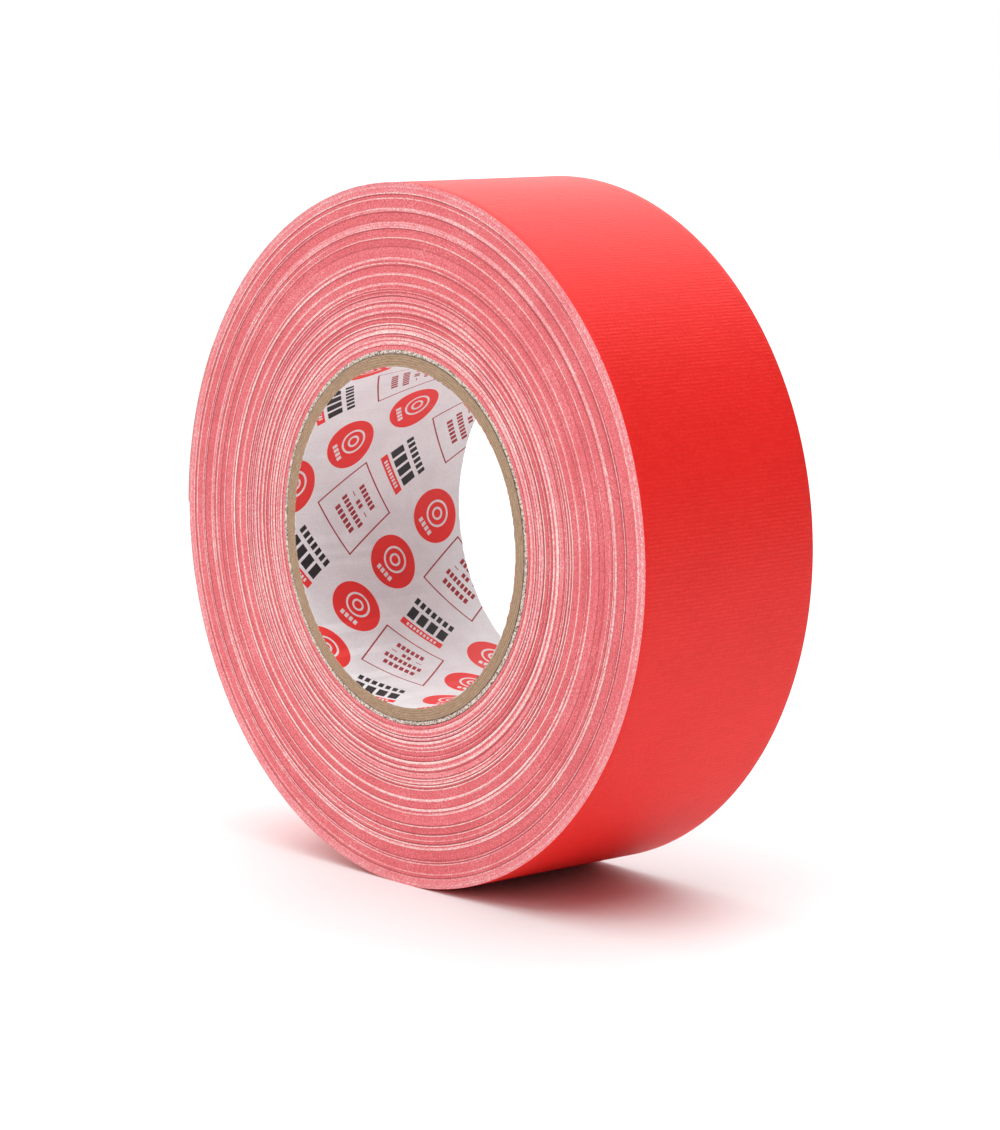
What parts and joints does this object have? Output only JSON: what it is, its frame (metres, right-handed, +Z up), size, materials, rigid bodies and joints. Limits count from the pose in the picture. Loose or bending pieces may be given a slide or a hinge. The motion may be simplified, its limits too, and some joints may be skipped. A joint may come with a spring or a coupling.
{
  "type": "tape roll",
  "caption": "Roll of red matt cloth tape wound on a plied board core with a printed paper liner; its loose end peels up.",
  "frame": {"origin": "middle of the core's bore: on the roll's axis, half way along its width", "axes": "+Y along the roll's axis, towards the back side face; +Z up, with the roll standing on its rim; the loose end starts high on the -X side"},
  "size_m": [0.1581, 0.05, 0.1577],
  "materials": {
    "liner": "uncoated white paper with red and black print",
    "kraft": "rough brown board, slit edge",
    "grey_board": "fuzzy grey board, slit edge",
    "tape": "matt red coated cloth, pink slit edges",
    "coating": "matt, fine plain weave showing through",
    "cloth": "plain woven cotton",
    "adhesive": "tacky, slightly glossy"
  },
  "bodies": {
    "roll": {"core_liner": "liner", "core_kraft_ply_1": "kraft", "core_kraft_ply_2": "kraft", "core_kraft_ply_3": "kraft", "core_kraft_ply_4": "kraft", "core_kraft_ply_5": "kraft", "core_grey_ply": "grey_board", "wound_tape": "tape"},
    "tape_end": {"end_coating": "coating", "end_cloth": "cloth", "end_adhesive": "adhesive"}
  },
  "joints": [
    {"name": "end_peel", "type": "hinge", "parent": "roll", "child": "tape_end", "pos_m": [-0.06847, 0, 0.03953], "axis": [0, 1, 0], "range_deg": [0, 120]}
  ]
}
